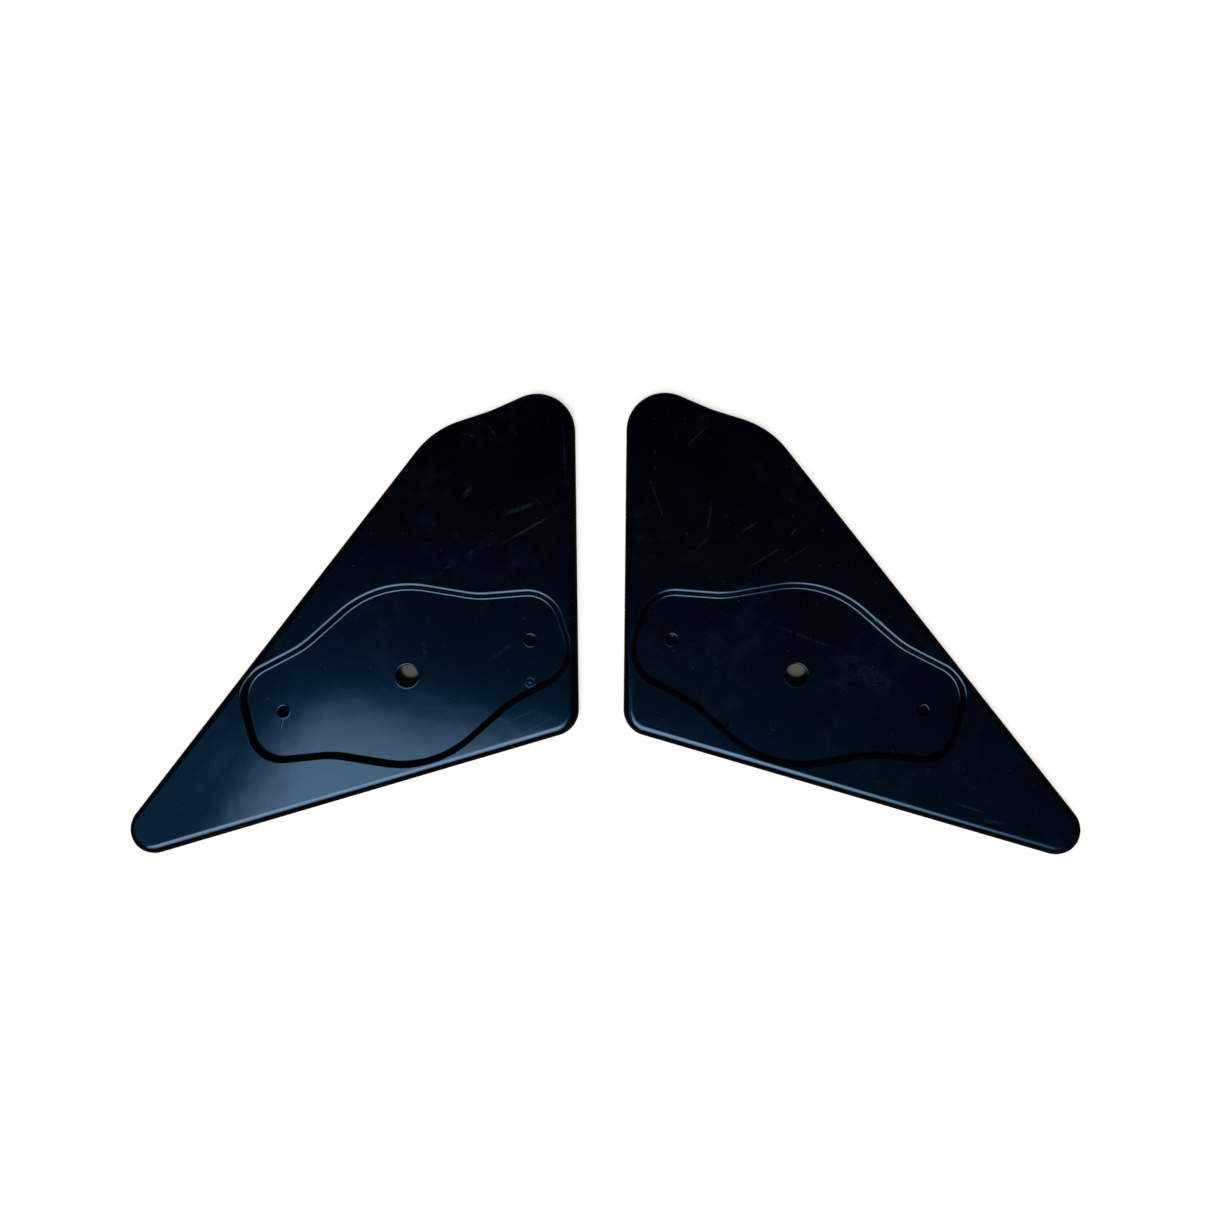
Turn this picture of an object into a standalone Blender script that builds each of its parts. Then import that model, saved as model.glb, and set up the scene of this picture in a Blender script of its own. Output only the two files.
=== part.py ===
"""A left and right pair of moulded corner cover panels, lying face up on a flat surface.

Each panel is one plastic moulding with no separate pieces: a flat triangular face with a rolled
edge, a shallow seat sunk into the face for the foot of a mirror or an arm, and three plain holes
through the seat. The underside is hollow, with the back of the seat standing down inside it.
The right panel is the mirror image of the left one about the plane x = 0.

Blender 4.5, metres, +Z up. The origin lies midway between the two panels, on the surface that
they rest on.
"""

import math

import bmesh
import bpy
from mathutils import Vector

# Heights and thicknesses
DEPTH = 0.0080                    # from the resting surface up to the flat face
WALL = 0.0025                     # moulded wall thickness
EDGE_ROLL = 0.0044                # radius of the rolled outer edge
SEAT_DEPTH = 0.0032               # how far the seat lies below the face
SEAT_SLOPE = math.radians(80)     # lean of the seat's wall, from the horizontal
SEAT_BROW = 0.0021                # radius where the face turns down into the seat
SEAT_FOOT = 0.0013                # radius where the wall meets the seat's floor

# Outline of the panel on the +X side, anticlockwise: x, y and radius of each corner.
# Each straight edge runs from one corner to the next, and the bend is a hollow corner.
TIP = (0.2518, -0.1250, 0.0123)
SHOULDER = (0.0857, 0.0968, 0.0452)
BEND = (0.0564, 0.1064, 0.0660)
HEAD = (0.0135, 0.1257, 0.0195)
FOOT = (0.0110, -0.0550, 0.0130)
OUTLINE = (TIP, SHOULDER, BEND, HEAD, FOOT)

# Seat of the panel on the +X side, at the middle of its wall, anticlockwise: a long shape with a
# round bulge on each long side. The corners between bulges and ends are hollow.
SEAT = (
    (0.1689, -0.0708, 0.0166),
    (0.1807, -0.0311, 0.0167),
    (0.1486, -0.0142, 0.0470),
    (0.1116, 0.0193, 0.0503),
    (0.0617, 0.0109, 0.0470),
    (0.0249, 0.0137, 0.0172),
    (0.0120, -0.0243, 0.0183),
    (0.0453, -0.0420, 0.0470),
    (0.0824, -0.0750, 0.0508),
    (0.1325, -0.0671, 0.0470),
)

# Holes through the seat of the panel on the +X side
HOLE_CENTRE = (0.0966, -0.0283)
CENTRE_HOLE_RADIUS = 0.0054
SCREW_HOLE_RADIUS = 0.0026
SCREW_REACH = 0.0639              # from the centre hole to each screw hole
SCREW_TILT = math.radians(-16.0)  # line of the screw holes, from +X
HOLE_LIP = 0.0006                 # bevel around the mouth of each hole

# How round the facets are
ARC_STEP = math.radians(13)       # longest turn along an outline for one facet
ROLL_STEPS = 4                    # facets across a rolled edge or a fillet
CENTRE_HOLE_SIDES = 24
SCREW_HOLE_SIDES = 16

OVERCUT = 0.001                   # how far a cutter reaches past the surface that it opens
PLASTIC_COLOUR = (0.010, 0.018, 0.035, 1.0)
PLASTIC_ROUGHNESS = 0.18


def clear_scene():
    """Remove whatever the scene holds."""
    for old in list(bpy.data.objects):
        bpy.data.objects.remove(old, do_unlink=True)


def plastic(name):
    """Gloss blue-black moulded plastic."""
    material = bpy.data.materials.new(name)
    material.use_nodes = True
    shader = material.node_tree.nodes["Principled BSDF"]
    shader.inputs["Base Color"].default_value = PLASTIC_COLOUR
    shader.inputs["Roughness"].default_value = PLASTIC_ROUGHNESS
    shader.inputs["Metallic"].default_value = 0.0
    return material


def corner_arcs(corners):
    """Arc of each rounded corner: its centre, radius, first angle and turn (minus if hollow)."""
    arcs = []
    for i, (x, y, radius) in enumerate(corners):
        here = Vector((x, y))
        arrive = (here - Vector(corners[i - 1][:2])).normalized()
        leave = (Vector(corners[(i + 1) % len(corners)][:2]) - here).normalized()
        turn = math.atan2(arrive.x * leave.y - arrive.y * leave.x, arrive.dot(leave))
        inward = (leave - arrive).normalized()
        centre = here + inward * radius / math.cos(turn / 2)
        start = here - arrive * radius * math.tan(abs(turn) / 2) - centre
        arcs.append((centre, radius, math.atan2(start.y, start.x), turn))
    return arcs


def ring(arcs, grow, height):
    """Closed ring of points at one height, moved outward from the arcs by grow."""
    points = []
    for centre, radius, first, turn in arcs:
        steps = max(1, math.ceil(abs(turn) / ARC_STEP))
        reach = radius + (grow if turn > 0 else -grow)
        for step in range(steps + 1):
            angle = first + turn * step / steps
            x = centre.x + reach * math.cos(angle)
            y = centre.y + reach * math.sin(angle)
            points.append((x, y, height))
    return points


def circle(centre, radius, height, sides):
    """Ring of points on a circle."""
    angles = [math.tau * i / sides for i in range(sides)]
    return [(centre.x + radius * math.cos(a), centre.y + radius * math.sin(a), height) for a in angles]


def loft(name, rings):
    """Closed solid through a stack of rings, lowest first."""
    shape = bmesh.new()
    stack = [[shape.verts.new(point) for point in points] for points in rings]
    count = len(rings[0])
    for low, high in zip(stack, stack[1:]):
        for i in range(count):
            j = (i + 1) % count
            shape.faces.new((low[i], low[j], high[j], high[i]))
    shape.faces.new(reversed(stack[0]))
    shape.faces.new(stack[-1])
    mesh = bpy.data.meshes.new(name)
    shape.to_mesh(mesh)
    shape.free()
    mesh.shade_smooth()
    mesh.set_sharp_from_angle(angle=math.radians(30))
    solid = bpy.data.objects.new(name, mesh)
    bpy.context.collection.objects.link(solid)
    return solid


def cut(solid, cutter):
    """Take the cutter's shape out of a solid, and keep the cutter as a hidden guide."""
    modifier = solid.modifiers.new(cutter.name, "BOOLEAN")
    modifier.operation = "DIFFERENCE"
    modifier.solver = "EXACT"
    modifier.object = cutter
    cutter.hide_render = True
    cutter.display_type = "WIRE"


def rolled_rings(arcs, inset, bottom, top, radius):
    """Rings of an upright wall whose upper edge rolls inward to a flat top."""
    rings = [ring(arcs, -inset, bottom)]
    for step in range(ROLL_STEPS + 1):
        angle = math.pi / 2 * step / ROLL_STEPS
        grow = -inset - radius * (1 - math.cos(angle))
        rings.append(ring(arcs, grow, top - radius * (1 - math.sin(angle))))
    return rings


def seat_profile():
    """Seat wall from foot to top: how far outward it lies from its middle, and its height."""
    lift = (SEAT_BROW + SEAT_FOOT) * (1 - math.cos(SEAT_SLOPE))
    run = (SEAT_BROW + SEAT_FOOT) * math.sin(SEAT_SLOPE)
    half_width = (run + (SEAT_DEPTH - lift) / math.tan(SEAT_SLOPE)) / 2
    angles = [SEAT_SLOPE * step / ROLL_STEPS for step in range(ROLL_STEPS + 1)]
    foot = []
    brow = []
    for angle in angles:
        height = DEPTH - SEAT_DEPTH + SEAT_FOOT * (1 - math.cos(angle))
        foot.append((SEAT_FOOT * math.sin(angle) - half_width, height))
        height = DEPTH - SEAT_BROW * (1 - math.cos(angle))
        brow.append((half_width - SEAT_BROW * math.sin(angle), height))
    return foot + brow[::-1]


def mirrored(corners, side):
    """Corners of the panel on one side (+1 or -1), kept anticlockwise."""
    if side > 0:
        return list(corners)
    return [(-x, y, radius) for x, y, radius in reversed(corners)]


def hole_places(side):
    """Centre and radius of each hole through the seat, with its number of sides."""
    middle = Vector((side * HOLE_CENTRE[0], HOLE_CENTRE[1]))
    reach = Vector((side * math.cos(SCREW_TILT), math.sin(SCREW_TILT))) * SCREW_REACH
    return [
        (middle, CENTRE_HOLE_RADIUS, CENTRE_HOLE_SIDES),
        (middle - reach, SCREW_HOLE_RADIUS, SCREW_HOLE_SIDES),
        (middle + reach, SCREW_HOLE_RADIUS, SCREW_HOLE_SIDES),
    ]


def seat_cutter(name, seat):
    """Everything above the seat and inside its filleted wall."""
    profile = seat_profile()
    rings = [ring(seat, out, height) for out, height in profile[:-1]]
    last_out, last_height = profile[-1]
    previous_out, previous_height = profile[-2]
    rings.append(ring(seat, 2 * last_out - previous_out, 2 * last_height - previous_height))
    rings.append(ring(seat, 2 * last_out - previous_out, DEPTH + OVERCUT))
    return loft(name, rings)


def seat_back(name, seat):
    """Solid that stays on the underside, so that the seat keeps the wall's thickness."""
    bottom = DEPTH - SEAT_DEPTH - WALL
    middle = DEPTH - SEAT_DEPTH / 2
    top = DEPTH - WALL + OVERCUT
    sideways = WALL / math.sin(SEAT_SLOPE)
    rings = []
    for height in (bottom, top):
        out = sideways - (middle - height) / math.tan(SEAT_SLOPE)
        rings.append(ring(seat, out, height))
    return loft(name, rings)


def hole_cutter(name, place, radius, sides):
    """Straight hole with a bevelled mouth at the seat's surface."""
    floor = DEPTH - SEAT_DEPTH
    levels = [
        (radius, -OVERCUT),
        (radius, floor - HOLE_LIP),
        (radius + HOLE_LIP + OVERCUT, floor + OVERCUT),
    ]
    return loft(name, [circle(place, r, height, sides) for r, height in levels])


def panel(name, side):
    """One panel: rolled plate, less the hollow under it, the seat and the holes."""
    outline = corner_arcs(mirrored(OUTLINE, side))
    seat = corner_arcs(mirrored(SEAT, side))
    solid = loft(name, rolled_rings(outline, 0.0, 0.0, DEPTH, EDGE_ROLL))
    solid.data.materials.append(plastic(name + "_plastic"))
    hollow_rings = rolled_rings(outline, WALL, -OVERCUT, DEPTH - WALL, EDGE_ROLL - WALL)
    hollow = loft(name + "_hollow_cutter", hollow_rings)
    cut(hollow, seat_back(name + "_seat_back_guide", seat))
    cut(solid, hollow)
    cut(solid, seat_cutter(name + "_seat_cutter", seat))
    for number, (place, radius, sides) in enumerate(hole_places(side)):
        cut(solid, hole_cutter(f"{name}_hole_{number}_cutter", place, radius, sides))
    return solid


clear_scene()
panel("left_panel", -1)
panel("right_panel", 1)
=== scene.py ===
"""Looks of a left and right pair of moulded corner cover panels, lying face up.

Each CAD panel is replaced by a fine shell of the same shape: a gloss face that rolls over at its
edge, a sunken seat with filleted walls, lipped holes, a hollow matt underside, and the marks that
moulding and handling leave. The right panel is the mirror image of the left one about x = 0, apart
from those marks.
"""

import math

import bmesh
import bpy
import numpy as np
from mathutils import Matrix, Vector, geometry


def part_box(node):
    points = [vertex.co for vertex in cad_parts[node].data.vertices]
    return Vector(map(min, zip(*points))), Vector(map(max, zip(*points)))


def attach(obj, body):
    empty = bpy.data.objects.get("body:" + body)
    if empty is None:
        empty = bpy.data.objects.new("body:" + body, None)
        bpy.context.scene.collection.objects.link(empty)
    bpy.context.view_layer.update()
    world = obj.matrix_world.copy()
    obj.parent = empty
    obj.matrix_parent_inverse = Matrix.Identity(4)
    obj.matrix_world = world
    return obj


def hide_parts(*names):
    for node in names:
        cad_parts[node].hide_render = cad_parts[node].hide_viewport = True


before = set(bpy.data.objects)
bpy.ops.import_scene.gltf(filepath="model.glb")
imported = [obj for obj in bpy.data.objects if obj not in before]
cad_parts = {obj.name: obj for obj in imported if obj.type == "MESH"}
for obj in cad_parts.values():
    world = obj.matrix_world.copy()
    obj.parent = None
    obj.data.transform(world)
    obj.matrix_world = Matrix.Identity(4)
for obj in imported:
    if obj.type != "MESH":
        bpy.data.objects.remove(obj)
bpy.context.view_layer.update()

MM = 0.001

# Heights and thicknesses, as in the CAD model
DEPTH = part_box("right_panel")[1][2]
WALL = 2.5 * MM
EDGE_ROLL = 4.4 * MM
SEAT_DEPTH = 3.2 * MM
SEAT_SLOPE = math.radians(80)
SEAT_BROW = 2.1 * MM              # radius where the face turns down into the seat
SEAT_FOOT = 1.3 * MM              # radius where the wall meets the seat's floor
BACK_SHIFT = WALL * math.tan(SEAT_SLOPE / 2)    # how much further out the wall lies on the back

# Corners of the right panel's outline, anticlockwise: x, y, radius. The bend is hollow.
TIP = (0.2518, -0.1250, 0.0123)
SHOULDER = (0.0857, 0.0968, 0.0452)
BEND = (0.0564, 0.1064, 0.0660)
HEAD = (0.0135, 0.1257, 0.0195)
FOOT = (0.0110, -0.0550, 0.0130)
OUTLINE = (TIP, SHOULDER, BEND, HEAD, FOOT)

# Corners of the right panel's seat, at the middle of its wall. The corners between bulges are hollow.
SEAT = (
    (0.1689, -0.0708, 0.0166),
    (0.1807, -0.0311, 0.0167),
    (0.1486, -0.0142, 0.0470),
    (0.1116, 0.0193, 0.0503),
    (0.0617, 0.0109, 0.0470),
    (0.0249, 0.0137, 0.0172),
    (0.0120, -0.0243, 0.0183),
    (0.0453, -0.0420, 0.0470),
    (0.0824, -0.0750, 0.0508),
    (0.1325, -0.0671, 0.0470),
)

# Holes through the right panel's seat
HOLE_CENTRE = (0.0966, -0.0283)
CENTRE_HOLE_RADIUS = 5.4 * MM
SCREW_HOLE_RADIUS = 2.6 * MM
SCREW_REACH = 63.9 * MM
SCREW_TILT = math.radians(-16.0)
HOLE_LIP = 0.6 * MM
BEAD_REACH = 0.7 * MM             # from the hole's wall to the top of the bead around it
BEAD_HALF = 0.5 * MM
BEAD_RISE = 0.03 * MM

# Slight marks of the mould in each panel: paths with half their width and their height
LEFT_RELIEF = (
    (((-0.0338, -0.0147), (-0.0322, -0.0210), (-0.0308, -0.0286)), 0.3 * MM, 0.012 * MM),
    (((-0.1581, -0.0482), (-0.1590, -0.0540)), 0.4 * MM, 0.012 * MM),
    (((-0.0357, -0.0316), (-0.0347, -0.0316)), 0.6 * MM, 0.05 * MM),
)
RIGHT_RELIEF = (
    (((0.0343, -0.0159), (0.0332, -0.0220), (0.0322, -0.0300)), 0.3 * MM, 0.012 * MM),
    (((0.1556, -0.0475), (0.1562, -0.0540)), 0.4 * MM, 0.012 * MM),
    (((0.0441, -0.0228), (0.0448, -0.0240), (0.0449, -0.0254)), 0.3 * MM, -0.018 * MM),
    (((0.0836, -0.0542), (0.0846, -0.0556), (0.0862, -0.0560)), 0.3 * MM, -0.018 * MM),
    (((0.1352, -0.0042), (0.1366, -0.0012)), 0.7 * MM, -0.12 * MM),
)
WITNESS_PLACE = (-0.0352, -0.0316)    # small moulded ring on the left panel's seat
WITNESS_RADIUS = 2.3 * MM
WITNESS_HALF = 0.35 * MM
WITNESS_RISE = 0.018 * MM
PIN_RADIUS = 4.0 * MM             # ejector pins, which sink round flats into the underside
PIN_DEPTH = 0.15 * MM
PINS = (
    (0.0300, 0.1000),
    (0.0620, 0.0700),
    (0.0290, 0.0450),
    (0.0960, 0.0500),
    (0.0720, -0.0460),
    (0.1220, -0.0100),
    (0.2100, -0.0980),
)

# Finer shapes that the CAD model leaves out
RIM_ROUND = 0.4 * MM              # edge of the flange that the panel rests on
BACK_ROUND = 0.3 * MM             # back edge of each hole
SURFACE_WAVE = 0.15 * MM          # slight unevenness of the gloss side, which bends reflections
GRAIN_DEPTH = 0.05 * MM           # grain of the underside

# Rub marks on the gloss side: both ends, half width and strength
RUBS = (
    ((-0.053, 0.035), (-0.022, 0.053), 0.9 * MM, 0.45),
    ((-0.082, 0.020), (-0.073, 0.029), 0.9 * MM, 0.40),
    ((-0.068, 0.030), (-0.057, 0.038), 2.0 * MM, 0.35),
    ((-0.052, 0.051), (-0.026, 0.060), 1.6 * MM, 0.35),
    ((-0.070, 0.060), (-0.064, 0.067), 1.6 * MM, 0.30),
    ((-0.072, 0.094), (-0.062, 0.092), 1.2 * MM, 0.35),
    ((-0.059, 0.101), (-0.052, 0.091), 0.9 * MM, 0.35),
    ((-0.019, 0.102), (-0.017, 0.059), 0.5 * MM, 0.25),
    ((-0.057, -0.022), (-0.042, -0.011), 1.2 * MM, 0.22),
    ((-0.089, -0.009), (-0.087, -0.022), 1.6 * MM, 0.18),
    ((-0.054, -0.055), (-0.025, -0.042), 0.6 * MM, 0.30),
    ((-0.042, -0.059), (-0.020, -0.047), 0.6 * MM, 0.30),
    ((-0.205, -0.092), (-0.178, -0.056), 6.0 * MM, 0.16),
    ((0.043, 0.086), (0.056, 0.099), 0.6 * MM, 0.30),
    ((0.024, 0.072), (0.033, 0.045), 0.6 * MM, 0.25),
    ((0.056, 0.060), (0.053, 0.042), 0.7 * MM, 0.30),
    ((0.046, 0.033), (0.055, 0.041), 0.9 * MM, 0.35),
    ((0.069, 0.042), (0.079, 0.048), 0.6 * MM, 0.35),
    ((0.094, 0.040), (0.098, 0.045), 0.6 * MM, 0.35),
    ((0.084, -0.003), (0.123, -0.018), 1.0 * MM, 0.22),
    ((0.113, -0.015), (0.150, -0.041), 7.0 * MM, 0.16),
    ((0.170, -0.090), (0.186, -0.095), 0.8 * MM, 0.35),
    ((0.179, -0.098), (0.196, -0.100), 1.0 * MM, 0.35),
    ((0.190, -0.105), (0.206, -0.107), 0.7 * MM, 0.30),
    ((0.072, 0.024), (0.092, 0.036), 0.7 * MM, 0.28),
    ((0.088, 0.026), (0.106, 0.037), 0.6 * MM, 0.25),
    ((0.231, -0.106), (0.2324, -0.114), 1.2 * MM, 1.0),
)
RUB_CORE = 0.3                    # share of a mark's width and length before it fades

# Colours of the plastic and of what lies on it
GLOSS_TONES = ((0.0001, 0.0005, 0.0011, 1.0), (0.0004, 0.0003, 0.0010, 1.0))
GLOSS_TINT = (0.40, 0.68, 1.0, 1.0)
GLOSS_ROUGHNESS = 0.06
MATT_TONES = ((0.003, 0.005, 0.009, 1.0), (0.006, 0.009, 0.014, 1.0))
MATT_ROUGHNESS = 0.48
HAZE_COLOUR = (0.018, 0.032, 0.048, 1.0)
DUST_COLOUR = (0.024, 0.029, 0.036, 1.0)
DUST_ROUGHNESS = 0.3              # added where dust lies
HAIR_TURNS = (0.75, -0.35)        # which way the hair scratches run, in radians
HAIR_STRETCH = (45.0, 1400.0, 1.0)
HAIR_STRENGTH = 0.10
CLOUD_STRENGTH = 0.09
MATT_SLOT = 1                     # the gloss plastic has slot 0

# Floor
FLOOR_HALF = 4.0
FLOOR_DISC = 9.0 * MM             # radius of floor under each hole that gets a painted shadow and a painted pool of light when covered
COVER_REACH = 40.0 * MM           # how close above it a panel has to be to cover the floor
COVERED_SKY = 0.9                 # covered floor sees less of the sky than this
PAINTED_LIGHT_SHIFT = (1.0 * MM, 4.7 * MM)  # where the painted pool of light under a hole lies, from straight below the hole
PAINTED_LIGHT_EDGE = (1.15, 0.75)           # where that painted light starts and is full, in radii of the hole
FLOOR_COLOUR = (0.50, 0.42, 0.37, 1.0)
FLOOR_GLOW = (0.60, 0.60, 0.60, 1.0)
FLOOR_IN_GLOSS = (0.05, 0.044, 0.038, 1.0)
# Painted shadow and painted pool of light on the floor under each covered hole
FLOOR_PAINTED_SHADOW = (0.002, 0.002, 0.002, 1.0)
FLOOR_PAINTED_LIGHT = (0.083, 0.079, 0.060, 1.0)
BLACK = (0.0, 0.0, 0.0, 1.0)

# Studio, by direction from the object. An edge is a plane's normal and how soft it is. A fade is
# where it starts and ends along x, y or z, and the values there (0 and 1 if left out).
ROOM_LIGHT = 0.24                 # strength straight overhead
ROOM_LIMIT = 1.5                  # and at most
ROOM_GROWTH = -8.0                # how fast the room's light grows toward -Y
ROOM_TWIST = (10.0, -2.6)         # and toward the left, depending on y
ROOM_Z_FADE = (0.50, 0.88)
ROOM_X_FADE = (-0.45, -0.31, 0.15, 1.0)
SOFTBOX_TOP = ((-0.15, -1.0, -0.075), 0.05)
SOFTBOX_LEFT = ((1.0, -0.67, 0.33), 0.042)
SOFTBOX_RIGHT = ((-1.0, -0.7, -0.03), 0.14)
SOFTBOX_BOTTOM = (0.48, 0.64)     # along z
SOFTBOX_UPPER_LIGHT = (-0.02, -0.14, 3.4, 3.8)    # along y
SOFTBOX_LOWER_LIGHT = (-0.17, -0.33, 0.0, 4.0)    # along y, added to the upper light
SOFTBOX_Z_FADE = (0.5, 0.9, 0.4, 1.0)
SOFTBOX_X_FADE = (0.05, 0.36, 1.0, 0.12)
SIDE_BOX_EDGE = ((-1.0, 0.0, -0.45), 0.06)
SIDE_BOX_BOTTOM = (0.5, 0.7)      # along z
SIDE_BOX_LIGHT = 0.6
HORIZON_LIGHT = (0.60, 0.42, 0.0, 0.04)    # along z
DIM_COLOUR = (0.12, 0.62, 1.0, 1.0)
MIDDLE_COLOUR = (0.75, 0.88, 1.0, 1.0)
BRIGHT_COLOUR = (1.15, 1.07, 1.0, 1.0)
MIDDLE_LIGHT = (0.0, 4.0)         # strengths over which the light turns from dim to middle colour
BRIGHT_LIGHT = (5.0, 11.0)        # and from middle to bright
BACKDROP_COLOUR = (0.70, 0.71, 0.73, 1.0)

# Camera
CAMERA_PLACE = (0.0110, -0.0335, 0.4522)
CAMERA_TILTS = (("X", 5.0), ("Y", 1.0137), ("Z", -0.19))    # degrees
CAMERA_LENS = 26.69
CAMERA_SENSOR = 36.0

# How fine the shells are
ARC_STEP = math.radians(2.5)
RUN_STEP = 8.0 * MM
ROLL_STEPS = 12
FILLET_STEPS = 7
ROUND_STEPS = 4
BEAD_STEPS = 4
CENTRE_HOLE_SIDES = 72
SCREW_HOLE_SIDES = 40
WITNESS_SIDES = 32
PIN_SIDES = 48
DISC_SIDES = 24
RELIEF_ROWS = np.arange(-4, 5) / 2     # rows of points beside a mark's path, in half widths
RELIEF_OVERRUN = 3                # and steps of them past each end
SUPPORT_GAPS = (0.12 * MM, 0.6 * MM)   # rings that hold the flat next to a fillet
PIN_GAPS = (-0.6 * MM, -0.15 * MM, -0.03 * MM, 0.03 * MM, 0.15 * MM, 0.6 * MM)  # and beside a pin
KEEP_INSIDE = 1                   # asks for the triangles inside the outermost ring
WELD = 0.001 * MM                 # points of the shell that are closer than this become one
FLAT_WELD = WELD / 10             # the same while triangulating
SNAP = 0.0001 * MM                # slack when telling what a point lies beside


class Outline:
    """Closed run of straight edges joined by arcs, anticlockwise."""

    def __init__(self, corners):
        """Find each corner's arc: its centre, radius, first angle and turn (minus if hollow)."""
        self.arcs = []
        for i, (x, y, radius) in enumerate(corners):
            here = Vector((x, y))
            arrive = (here - Vector(corners[i - 1][:2])).normalized()
            leave = (Vector(corners[(i + 1) % len(corners)][:2]) - here).normalized()
            turn = math.atan2(arrive.x * leave.y - arrive.y * leave.x, arrive.dot(leave))
            centre = here + (leave - arrive).normalized() * radius / math.cos(turn / 2)
            start = here - arrive * radius * math.tan(abs(turn) / 2) - centre
            self.arcs.append((centre, radius, math.atan2(start.y, start.x), turn))

    def arc_point(self, arc, share, grow=0.0):
        """Point part of the way round an arc, moved outward by grow."""
        centre, radius, first, turn = arc
        angle = first + turn * share
        reach = radius + (grow if turn > 0 else -grow)
        return np.array((centre.x + reach * math.cos(angle), centre.y + reach * math.sin(angle)))

    def runs(self, grow=0.0):
        """Both ends of each straight edge, in order, after the arc before it."""
        following = self.arcs[1:] + self.arcs[:1]
        return [
            (self.arc_point(arc, 1.0, grow), self.arc_point(after, 0.0, grow))
            for arc, after in zip(self.arcs, following)
        ]

    def ring(self, grow=0.0):
        """Points along the outline moved outward by grow, matched from ring to ring."""
        points = []
        for arc, (start, end) in zip(self.arcs, self.runs(grow)):
            steps = math.ceil(abs(arc[3]) / ARC_STEP)
            points += [self.arc_point(arc, i / steps, grow) for i in range(steps)]
            pieces = math.ceil(self.run_length(arc) / RUN_STEP)
            points += [start + (end - start) * i / pieces for i in range(pieces)]
        return np.array(points)

    def run_length(self, arc):
        """Length of the straight edge after an arc, which is the same in every ring."""
        start, end = self.runs()[self.arcs.index(arc)]
        return float(np.linalg.norm(end - start))

    def distance(self, points):
        """How far outside the outline each point lies, less than 0 inside."""
        best = np.full(len(points), np.inf)
        for arc, (start, end) in zip(self.arcs, self.runs()):
            centre, radius, first, turn = arc
            offset = points - np.array(centre)
            angle = np.arctan2(offset[:, 1], offset[:, 0]) - first - turn / 2
            angle = (angle + math.pi) % math.tau - math.pi
            gap = math.copysign(1, turn) * (np.hypot(offset[:, 0], offset[:, 1]) - radius)
            beside = np.abs(angle) * radius <= abs(turn) / 2 * radius + SNAP
            best = np.where(beside & (np.abs(gap) < np.abs(best)), gap, best)
            along = (end - start) / np.linalg.norm(end - start)
            offset = points - start
            gap = offset @ np.array((along[1], -along[0]))
            reached = offset @ along
            beside = (reached >= -SNAP) & (reached <= np.linalg.norm(end - start) + SNAP)
            best = np.where(beside & (np.abs(gap) < np.abs(best)), gap, best)
        return best


def mirrored(corners, side):
    """Corners of the panel on one side (+1 or -1), kept anticlockwise."""
    if side > 0:
        return list(corners)
    return [(-x, y, radius) for x, y, radius in reversed(corners)]


def hole_places(side):
    """Centre, radius and number of sides of each hole."""
    middle = np.array((side * HOLE_CENTRE[0], HOLE_CENTRE[1]))
    reach = np.array((side * math.cos(SCREW_TILT), math.sin(SCREW_TILT))) * SCREW_REACH
    return [
        (middle, CENTRE_HOLE_RADIUS, CENTRE_HOLE_SIDES),
        (middle - reach, SCREW_HOLE_RADIUS, SCREW_HOLE_SIDES),
        (middle + reach, SCREW_HOLE_RADIUS, SCREW_HOLE_SIDES),
    ]


def circle(centre, radius, sides):
    """Ring of points on a circle."""
    angles = np.arange(sides) * math.tau / sides
    return centre + radius * np.stack((np.cos(angles), np.sin(angles)), axis=1)


def round_drop(inset, radius):
    """Drop of a quarter-round edge below its flat, at a distance in from its wall."""
    inset = np.where(inset < SNAP, 0.0, inset)
    short = np.clip(radius - inset, 0, radius)
    return radius - np.sqrt(np.maximum(radius ** 2 - short ** 2, 0))


def seat_width():
    """Width of the seat's wall, seen from above, with both fillets."""
    lift = (SEAT_BROW + SEAT_FOOT) * (1 - math.cos(SEAT_SLOPE))
    run = (SEAT_BROW + SEAT_FOOT) * math.sin(SEAT_SLOPE)
    return run + (SEAT_DEPTH - lift) / math.tan(SEAT_SLOPE)


def fillet_drop(inset, radius):
    """Drop along a fillet and then the slope, at a distance in from the fillet's start."""
    run = radius * math.sin(SEAT_SLOPE)
    inset = np.maximum(inset, 0)
    arc = radius - np.sqrt(radius ** 2 - np.minimum(inset, run) ** 2)
    return arc + np.maximum(inset - run, 0) * math.tan(SEAT_SLOPE)


def seat_drop(out):
    """Drop below the face at a distance outward from the middle of the seat's wall."""
    half = seat_width() / 2
    from_brow = fillet_drop(half - out, SEAT_BROW)
    from_foot = SEAT_DEPTH - fillet_drop(half + out, SEAT_FOOT)
    slope_start = half - SEAT_BROW * math.sin(SEAT_SLOPE)
    return np.where(out > slope_start, from_brow, np.minimum(from_foot, SEAT_DEPTH))


def seat_offsets():
    """Where rings follow the seat's wall, outward from its middle."""
    half = seat_width() / 2
    angles = [SEAT_SLOPE * i / FILLET_STEPS for i in range(FILLET_STEPS + 1)]
    offsets = [half - SEAT_BROW * math.sin(angle) for angle in angles]
    offsets += [SEAT_FOOT * math.sin(angle) - half for angle in angles]
    offsets += [half + gap for gap in SUPPORT_GAPS] + [-half - gap for gap in SUPPORT_GAPS]
    return sorted(offsets)


def path_distance(points, path):
    """How far each point lies from a path of straight lines."""
    best = np.full(len(points), np.inf)
    for start, end in zip(np.array(path), np.array(path)[1:]):
        along = end - start
        share = np.clip((points - start) @ along / (along @ along), 0, 1)
        gap = points - start - share[:, None] * along
        best = np.minimum(best, np.hypot(gap[:, 0], gap[:, 1]))
    return best


def hump(gap, half_width):
    """Smooth hump: 1 at the middle, 0 from half its width outward."""
    return (1 + np.cos(math.pi * np.clip(gap / half_width, -1, 1))) / 2


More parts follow.
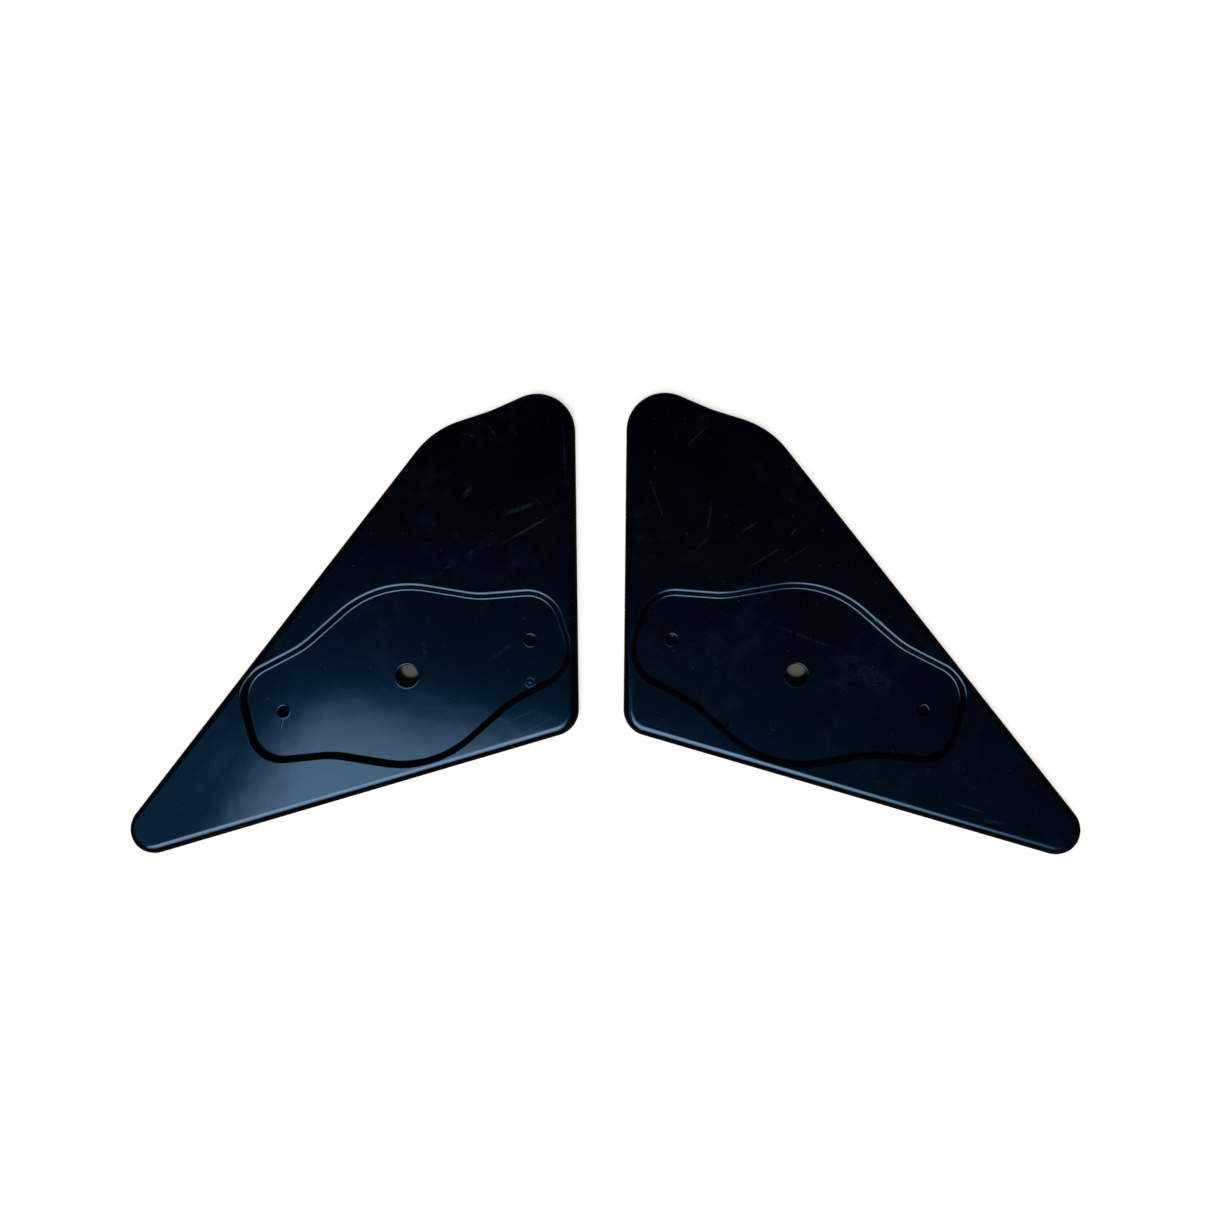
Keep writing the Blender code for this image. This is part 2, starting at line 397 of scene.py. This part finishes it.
def points_along(path, half_width):
    """Points that follow a path closely enough to carry its relief."""
    points = []
    for start, end in zip(np.array(path), np.array(path)[1:]):
        length = np.linalg.norm(end - start)
        steps = math.ceil(length / half_width)
        across = np.array((start[1] - end[1], end[0] - start[0])) / length
        for i in range(-RELIEF_OVERRUN, steps + RELIEF_OVERRUN + 1):
            middle = start + (end - start) * i / steps
            points += [middle + across * half_width * row for row in RELIEF_ROWS]
    return np.array(points)


class Panel:
    """Shape of one panel: its outline, seat and holes, and the heights of its two surfaces."""

    def __init__(self, side):
        """Place everything for the panel on one side (+1 or -1)."""
        self.outline = Outline(mirrored(OUTLINE, side))
        self.seat = Outline(mirrored(SEAT, side))
        self.holes = hole_places(side)
        self.pins = [np.array((side * x, y)) for x, y in PINS]
        self.relief = list(RIGHT_RELIEF if side > 0 else LEFT_RELIEF)
        if side < 0:
            witness = circle(np.array(WITNESS_PLACE), WITNESS_RADIUS, WITNESS_SIDES)
            closed = np.vstack((witness, witness[:1]))
            self.relief.append((closed, WITNESS_HALF, WITNESS_RISE))

    def face_height(self, points):
        """Height of the face, seat floor and rolled edge."""
        roll = round_drop(-self.outline.distance(points), EDGE_ROLL)
        sink = seat_drop(self.seat.distance(points))
        height = DEPTH - np.hypot(roll, sink)
        for centre, radius, _ in self.holes:
            inset = np.hypot(*(points - centre).T) - radius
            height += BEAD_RISE * hump(inset - BEAD_REACH, BEAD_HALF) - round_drop(inset, HOLE_LIP)
        for path, half_width, rise in self.relief:
            height += rise * hump(path_distance(points, path), half_width)
        return height

    def back_height(self, points):
        """Height of the underside inside the flange."""
        inner_roll = EDGE_ROLL - WALL
        roll = round_drop(-self.outline.distance(points) - WALL, inner_roll)
        sink = seat_drop(self.seat.distance(points) - BACK_SHIFT)
        height = DEPTH - WALL - np.hypot(roll, sink)
        for centre, radius, _ in self.holes:
            inset = np.hypot(*(points - centre).T) - radius
            height += round_drop(inset, BACK_ROUND)
        for centre in self.pins:
            inside = np.hypot(*(points - centre).T) < PIN_RADIUS
            height += np.where(inside, PIN_DEPTH, 0)
        return height


def round_insets(radius, steps):
    """Distances in from a wall that share a quarter-round edge evenly by angle."""
    return [radius * (1 - math.cos(math.pi / 2 * i / steps)) for i in range(steps + 1)]


def triangulated(rings, loose_rings=()):
    """Points and triangles inside the outermost ring. Only the loose rings aren't kept as edges."""
    points, edges = [], []
    for ring in rings:
        first = len(points)
        points += [Vector(point) for point in ring]
        edges += [(first + i, first + (i + 1) % len(ring)) for i in range(len(ring))]
    for ring in loose_rings:
        points += [Vector(point) for point in ring]
    places, _, faces, *_ = geometry.delaunay_2d_cdt(points, edges, [], KEEP_INSIDE, FLAT_WELD)
    return np.array(places), np.array(faces)


def surface(shape, panel, rings, loose_rings, height):
    """Add the surface inside the first ring and outside the holes, lifted to its height."""
    flat, corners = triangulated(rings, loose_rings)
    heights = height(flat)
    kept = corners[outside_holes(panel, flat[corners].mean(axis=1))]
    verts = {i: shape.verts.new((*flat[i], heights[i])) for i in np.unique(kept)}
    return [shape.faces.new([verts[i] for i in face]) for face in kept]


def band(shape, rings):
    """Add quads between closed rings of 3-D points that match one to one."""
    rows = [[shape.verts.new(point) for point in ring] for ring in rings]
    faces = []
    for low, high in zip(rows, rows[1:]):
        for i in range(len(low)):
            j = (i + 1) % len(low)
            faces.append(shape.faces.new((low[i], low[j], high[j], high[i])))
    return faces


def raised(ring, heights):
    """Ring of flat points lifted to a height, or to one height for each point."""
    return np.column_stack((ring, np.broadcast_to(heights, len(ring))))


def face_surface(shape, panel):
    """The gloss side: face, seat and rolled edge down to the top of the flange's wall."""
    insets = round_insets(EDGE_ROLL, ROLL_STEPS) + [EDGE_ROLL + gap for gap in SUPPORT_GAPS]
    rings = [panel.outline.ring(-inset) for inset in insets]
    rings += [panel.seat.ring(out) for out in seat_offsets()]
    bead = [BEAD_REACH + BEAD_HALF * i / BEAD_STEPS for i in range(BEAD_STEPS + 1)]
    bead += [bead[-1] + gap for gap in SUPPORT_GAPS]
    for centre, radius, sides in panel.holes:
        reaches = round_insets(HOLE_LIP, 2 * ROUND_STEPS) + bead
        rings += [circle(centre, radius + reach, sides) for reach in reaches]
    loose = [points_along(path, half_width) for path, half_width, _ in panel.relief]
    return surface(shape, panel, rings, loose, panel.face_height)


def back_surface(shape, panel):
    """The matt side inside the flange. The seat's back runs into the flange, so its rings are loose."""
    inner_roll = EDGE_ROLL - WALL
    insets = [WALL + inset for inset in round_insets(inner_roll, ROUND_STEPS)]
    insets.append(WALL + inner_roll + SUPPORT_GAPS[1])
    rings = [panel.outline.ring(-inset) for inset in insets]
    loose = []
    for out in seat_offsets()[::2]:
        ring = panel.seat.ring(out + BACK_SHIFT)
        clear = panel.outline.distance(ring) < -WALL - SUPPORT_GAPS[0]
        loose.append(ring[clear])
    for centre, radius, sides in panel.holes:
        reaches = round_insets(BACK_ROUND, ROUND_STEPS) + [BACK_ROUND + SUPPORT_GAPS[1]]
        rings += [circle(centre, radius + reach, sides) for reach in reaches]
    for centre in panel.pins:
        rings += [circle(centre, PIN_RADIUS + gap, PIN_SIDES) for gap in PIN_GAPS]
    return surface(shape, panel, rings, loose, panel.back_height)


def outside_holes(panel, middles):
    """Which points lie outside every hole."""
    outside = np.full(len(middles), True)
    for centre, radius, sides in panel.holes:
        flat_radius = radius * math.cos(math.pi / sides)
        outside &= np.hypot(*(middles - centre).T) > flat_radius
    return outside


def flange(shape, panel):
    """Outer wall below the rolled edge, the rounded rim, and the inner wall up to the underside."""
    turns = [math.pi / 2 * i / ROUND_STEPS for i in range(ROUND_STEPS + 1)]
    outer = [(RIM_ROUND * (1 - math.cos(a)), RIM_ROUND * (1 - math.sin(a))) for a in turns]
    inner = [(WALL - inset, height) for inset, height in reversed(outer)]
    steps = [(0.0, DEPTH - EDGE_ROLL)] + outer + inner
    rings = [raised(panel.outline.ring(-inset), height) for inset, height in steps]
    top = panel.outline.ring(-WALL)
    rings.append(raised(top, panel.back_height(top)))
    return band(shape, rings)


def hole_walls(shape, panel):
    """Straight wall of each hole, from the seat's lip to its back edge."""
    faces = []
    for centre, radius, sides in panel.holes:
        ring = circle(centre, radius, sides)
        top = raised(ring, panel.face_height(ring))
        bottom = raised(ring, panel.back_height(ring))
        faces += band(shape, [top, bottom])
    return faces


def panel_shell(name, side, materials):
    """One panel as a closed shell, gloss outside and matt on the underside."""
    panel = Panel(side)
    shape = bmesh.new()
    face_surface(shape, panel)
    back = back_surface(shape, panel)
    flange(shape, panel)
    hole_walls(shape, panel)
    for face in back:
        face.material_index = MATT_SLOT
    bmesh.ops.remove_doubles(shape, verts=shape.verts, dist=WELD)
    bmesh.ops.recalc_face_normals(shape, faces=shape.faces)
    open_edges = [edge for edge in shape.edges if not edge.is_manifold]
    if open_edges:
        raise ValueError(f"{name} has {len(open_edges)} open edges")
    mesh = bpy.data.meshes.new(name)
    shape.to_mesh(mesh)
    shape.free()
    mesh.shade_smooth()
    for material in materials:
        mesh.materials.append(material)
    piece = bpy.data.objects.new(name, mesh)
    bpy.context.collection.objects.link(piece)
    return piece


class Graph:
    """Short way to build a node tree. Values can be numbers or the outputs of other nodes."""

    def __init__(self, owner):
        """Work in the node tree of a material or a world."""
        owner.use_nodes = True
        self.tree = owner.node_tree

    def node(self, kind, inputs=None, **settings):
        """Add a node, set its properties, and feed its inputs with values or sockets."""
        node = self.tree.nodes.new("ShaderNode" + kind)
        for key, value in settings.items():
            setattr(node, key, value)
        for key, value in (inputs or {}).items():
            self.feed(node.inputs[key], value)
        return node

    def feed(self, socket, value):
        """Link a socket, or set its value."""
        if isinstance(value, bpy.types.NodeSocket):
            self.tree.links.new(value, socket)
        else:
            socket.default_value = value

    def math(self, operation, *values):
        """Result of a Math node."""
        inputs = dict(enumerate(values))
        return self.node("Math", inputs, operation=operation).outputs[0]

    def product(self, *values):
        """All of the values multiplied together."""
        result = values[0]
        for value in values[1:]:
            result = self.math("MULTIPLY", result, value)
        return result

    def dot(self, place, axis):
        """How far a place lies along an axis."""
        inputs = {0: place, 1: axis}
        return self.node("VectorMath", inputs, operation="DOT_PRODUCT").outputs["Value"]

    def ramp(self, value, low, high, start=0.0, end=1.0):
        """Smooth step from start to end while the value goes from low to high."""
        inputs = {"Value": value, "From Min": low, "From Max": high, "To Min": start, "To Max": end}
        return self.node("MapRange", inputs, interpolation_type="SMOOTHSTEP").outputs[0]

    def blend(self, factor, first, second):
        """Colour between two others."""
        node = self.node("Mix", data_type="RGBA")
        for key, value in ((0, factor), (6, first), (7, second)):
            self.feed(node.inputs[key], value)
        return node.outputs[2]


def new_material(name):
    """Material with a node graph, and its shader."""
    material = bpy.data.materials.new(name)
    graph = Graph(material)
    return material, graph, graph.tree.nodes["Principled BSDF"]


def rub(graph, place, mark):
    """Mask of one straight rub mark, which fades toward its ends."""
    start, end = Vector(mark[0]), Vector(mark[1])
    length = (end - start).length
    along = (end - start) / length
    middle = (start + end) / 2
    masks = []
    for axis, half in ((along, length / 2), (Vector((-along.y, along.x)), mark[2])):
        reached = graph.dot(place, (axis.x, axis.y, 0.0))
        gap = graph.math("ABSOLUTE", graph.math("SUBTRACT", reached, middle.dot(axis)))
        masks.append(graph.ramp(gap, half, half * RUB_CORE))
    return graph.product(*masks, mark[3])


def stretched(graph, place, turn, scale):
    """Coordinates along axes turned about Z, each then scaled."""
    turned = graph.node("VectorRotate", {"Vector": place, "Angle": -turn}, rotation_type="Z_AXIS")
    node = graph.node("VectorMath", {0: turned.outputs[0], 1: scale}, operation="MULTIPLY")
    return node.outputs[0]


def noise(graph, place, scale, detail=2.0):
    """Noise from about 0 to 1."""
    inputs = {"Vector": place, "Scale": scale, "Detail": detail}
    return graph.node("TexNoise", inputs).outputs["Fac"]


def specks(graph, place, scale, radius, share):
    """Mask of round specks, one in only a share of the cells."""
    cells = graph.node("TexVoronoi", {"Vector": place, "Scale": scale}, voronoi_dimensions="2D")
    near = graph.ramp(cells.outputs["Distance"], radius, radius * 0.5)
    chosen = graph.math("LESS_THAN", cells.outputs["Color"], share)
    return graph.math("MULTIPLY", near, chosen)


def rub_marks(graph, place):
    """Mask of all the rub marks, broken up into fine streaks."""
    rubs = rub(graph, place, RUBS[0])
    for mark in RUBS[1:]:
        rubs = graph.math("MAXIMUM", rubs, rub(graph, place, mark))
    streaks = noise(graph, place, scale=1100.0, detail=4.0)
    streaks = graph.ramp(streaks, low=0.25, high=0.80)
    gaps = noise(graph, place, scale=150.0, detail=5.0)
    gaps = graph.ramp(gaps, low=0.30, high=0.52, end=1.5)
    return graph.math("MINIMUM", graph.product(rubs, streaks, gaps), 1.0)


def haze_patches(graph, place):
    """Mask of hair scratches and cloudy haze, which both lie in patches."""
    patches = noise(graph, place, scale=22.0, detail=3.0)
    patches = graph.ramp(patches, low=0.42, high=0.72)
    hairs = 0.0
    for turn in HAIR_TURNS:
        fine = noise(graph, stretched(graph, place, turn, HAIR_STRETCH), scale=1.0)
        hairs = graph.math("MAXIMUM", hairs, graph.ramp(fine, low=0.58, high=0.75))
    hairs = graph.product(hairs, patches)
    cloud = noise(graph, place, scale=120.0, detail=6.0)
    cloud = graph.product(patches, graph.ramp(cloud, low=0.40, high=0.75), CLOUD_STRENGTH)
    return graph.math("MULTIPLY_ADD", hairs, HAIR_STRENGTH, cloud)


def dust_specks(graph, place):
    """Mask of coarse and fine dust."""
    coarse = specks(graph, place, scale=120.0, radius=0.030, share=0.20)
    return graph.math("MAXIMUM", coarse, specks(graph, place, scale=300.0, radius=0.05, share=0.16))


def gloss_plastic():
    """Blue-black plastic moulded in a polished cavity, with rubs, haze and dust from handling."""
    material, graph, shader = new_material("gloss_blue_black_plastic")
    place = graph.node("TexCoord").outputs["Object"]
    haze = graph.math("MAXIMUM", haze_patches(graph, place), rub_marks(graph, place))
    dust = dust_specks(graph, place)
    tone = graph.ramp(noise(graph, place, scale=35.0, detail=3.0), low=0.35, high=0.65)
    colour = graph.blend(tone, *GLOSS_TONES)
    colour = graph.blend(haze, colour, HAZE_COLOUR)
    colour = graph.blend(dust, colour, DUST_COLOUR)
    graph.feed(shader.inputs["Base Color"], colour)
    roughness = graph.math("MULTIPLY_ADD", haze, 0.10, GLOSS_ROUGHNESS)
    roughness = graph.math("MULTIPLY_ADD", dust, DUST_ROUGHNESS, roughness)
    graph.feed(shader.inputs["Roughness"], roughness)
    waves = noise(graph, place, scale=28.0, detail=2.5)
    waves = graph.node("Bump", {"Height": waves, "Distance": SURFACE_WAVE})
    graph.feed(shader.inputs["Normal"], waves.outputs[0])
    shader.inputs["IOR"].default_value = 1.5
    shader.inputs["Specular Tint"].default_value = GLOSS_TINT
    return material


def matt_plastic():
    """The same plastic on the underside, where the cavity is spark-eroded."""
    material, graph, shader = new_material("matt_blue_black_plastic")
    place = graph.node("TexCoord").outputs["Object"]
    worn = graph.ramp(noise(graph, place, scale=40.0, detail=4.0), low=0.3, high=0.7)
    graph.feed(shader.inputs["Base Color"], graph.blend(worn, *MATT_TONES))
    roughness = graph.math("MULTIPLY_ADD", worn, 0.12, MATT_ROUGHNESS)
    graph.feed(shader.inputs["Roughness"], roughness)
    grain = noise(graph, place, scale=1600.0, detail=2.0)
    bump = graph.node("Bump", {"Height": grain, "Strength": 0.25, "Distance": GRAIN_DEPTH})
    graph.feed(shader.inputs["Normal"], bump.outputs[0])
    return material


def floor_material(name, painted_shade):
    """Pale floor, dim in gloss surfaces. The one under the holes gets a painted shadow where a panel
    covers it, but for a painted pool of light where light through the hole would fall.
    """
    material, graph, shader = new_material(name)
    shader.inputs["Roughness"].default_value = 0.9
    shader.inputs["Specular IOR Level"].default_value = 0.0
    dim = graph.node("LightPath").outputs["Is Glossy Ray"]
    # Where a panel covers this floor, its colour is a painted shadow with a painted pool of light, and
    # it stops glowing
    if painted_shade:
        sky = graph.node("AmbientOcclusion", {"Distance": COVER_REACH}, samples=8).outputs["AO"]
        covered = graph.math("LESS_THAN", sky, COVERED_SKY)
        place = graph.node("Attribute", attribute_name="from_painted_light_patch").outputs["Vector"]
        away = graph.node("VectorMath", {0: place}, operation="LENGTH").outputs["Value"]
        under = graph.blend(graph.ramp(away, *PAINTED_LIGHT_EDGE), FLOOR_PAINTED_SHADOW, FLOOR_PAINTED_LIGHT)
        colour = graph.blend(covered, FLOOR_COLOUR, under)
        dim = graph.math("MAXIMUM", dim, covered)
    else:
        colour = graph.blend(dim, FLOOR_COLOUR, FLOOR_IN_GLOSS)
    graph.feed(shader.inputs["Base Color"], colour)
    graph.feed(shader.inputs["Emission Color"], graph.blend(dim, FLOOR_GLOW, BLACK))
    shader.inputs["Emission Strength"].default_value = 1.0
    return material


def add_floor():
    """Wide floor at the height that the panels rest on, with a disc under each hole for a painted
    shadow and painted pool of light.
    """
    holes = hole_places(-1) + hole_places(1)
    square = ((-1, -1), (1, -1), (1, 1), (-1, 1))
    rings = [[(FLOOR_HALF * x, FLOOR_HALF * y) for x, y in square]]
    rings += [circle(centre, FLOOR_DISC, DISC_SIDES) for centre, _, _ in holes]
    flat, corners = triangulated(rings)
    mesh = bpy.data.meshes.new("floor")
    mesh.from_pydata(raised(flat, 0.0).tolist(), [], corners.tolist())
    patch = mesh.attributes.new("from_painted_light_patch", "FLOAT_VECTOR", "CORNER")
    for face in mesh.polygons:
        middle = np.array(face.center[:2])
        centre, radius, _ = min(holes, key=lambda hole: np.hypot(*(middle - hole[0])))
        face.material_index = int(np.hypot(*(middle - centre)) < FLOOR_DISC)
        for corner, vertex in zip(face.loop_indices, face.vertices):
            # Offset of each corner from the painted pool of light under the nearest hole, in radii of
            # the hole
            away = (np.array(mesh.vertices[vertex].co[:2]) - centre - PAINTED_LIGHT_SHIFT) / radius
            patch.data[corner].vector = (*away, 0.0)
    mesh.materials.append(floor_material("pale_floor", False))
    mesh.materials.append(floor_material("pale_floor_painted_shade_under_holes", True))
    floor = bpy.data.objects.new("floor", mesh)
    bpy.context.collection.objects.link(floor)


def beyond(graph, toward, edge):
    """1 in directions on one side of a plane through the object, fading to 0 across its edge."""
    normal, soft = edge
    return graph.ramp(graph.dot(toward, normal), -soft, soft)


def room_light(graph, x, y, z):
    """Strength of the dim room's light: from overhead, and more toward -Y and the left."""
    lean = graph.product(x, graph.math("MULTIPLY_ADD", y, *ROOM_TWIST))
    growth = graph.math("EXPONENT", graph.math("MULTIPLY_ADD", y, ROOM_GROWTH, lean))
    room = graph.math("MINIMUM", graph.product(growth, ROOM_LIGHT), ROOM_LIMIT)
    return graph.product(room, graph.ramp(z, *ROOM_Z_FADE), graph.ramp(x, *ROOM_X_FADE))


def softbox_light(graph, toward, x, y, z):
    """Strength of the wide softbox, and of the dimmer one to its left."""
    top = beyond(graph, toward, SOFTBOX_TOP)
    sides = graph.product(beyond(graph, toward, SOFTBOX_LEFT), beyond(graph, toward, SOFTBOX_RIGHT))
    bottom = graph.product(graph.ramp(z, *SOFTBOX_BOTTOM), graph.ramp(z, *SOFTBOX_Z_FADE))
    lower = graph.ramp(y, *SOFTBOX_LOWER_LIGHT)
    strength = graph.math("ADD", graph.ramp(y, *SOFTBOX_UPPER_LIGHT), lower)
    box = graph.product(top, sides, bottom, strength, graph.ramp(x, *SOFTBOX_X_FADE))
    side_box = graph.product(top, beyond(graph, toward, SIDE_BOX_EDGE))
    side_box = graph.product(side_box, graph.ramp(z, *SIDE_BOX_BOTTOM), SIDE_BOX_LIGHT)
    return graph.math("MAXIMUM", box, side_box)


def add_studio():
    """Wide bright softbox from overhead down to -Y, in a dim room, before a plain pale backdrop."""
    world = bpy.data.worlds.new("studio")
    bpy.context.scene.world = world
    graph = Graph(world)
    toward = graph.node("TexCoord").outputs["Generated"]
    x, y, z = graph.node("SeparateXYZ", {0: toward}).outputs
    room = room_light(graph, x, y, z)
    total = graph.math("ADD", room, softbox_light(graph, toward, x, y, z))
    total = graph.math("MAXIMUM", total, graph.ramp(z, *HORIZON_LIGHT))
    colour = graph.blend(graph.ramp(total, *MIDDLE_LIGHT), DIM_COLOUR, MIDDLE_COLOUR)
    colour = graph.blend(graph.ramp(total, *BRIGHT_LIGHT), colour, BRIGHT_COLOUR)
    seen = graph.node("LightPath").outputs["Is Camera Ray"]
    hidden = graph.product(total, graph.math("SUBTRACT", 1.0, seen))
    background = graph.tree.nodes["Background"]
    graph.feed(background.inputs["Color"], graph.blend(seen, colour, BACKDROP_COLOUR))
    graph.feed(background.inputs["Strength"], graph.math("ADD", hidden, seen))


def add_camera():
    """Camera above the pair, a little toward -Y, looking almost straight down."""
    camera = bpy.data.cameras.new("camera")
    camera.sensor_width = CAMERA_SENSOR
    camera.lens = CAMERA_LENS
    camera.clip_start = 0.01
    turn = Matrix.Identity(4)
    for axis, degrees in CAMERA_TILTS:
        turn = turn @ Matrix.Rotation(math.radians(degrees), 4, axis)
    holder = bpy.data.objects.new("camera", camera)
    holder.matrix_world = Matrix.Translation(CAMERA_PLACE) @ turn
    bpy.context.collection.objects.link(holder)
    bpy.context.scene.camera = holder


materials = [gloss_plastic(), matt_plastic()]
for name, side in (("left", -1), ("right", 1)):
    shell = panel_shell(f"{name}_panel_shell", side, materials)
    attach(shell, f"{name}_panel")
    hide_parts(f"{name}_panel")

add_floor()
add_studio()
add_camera()
bpy.context.scene.view_settings.view_transform = "Standard"
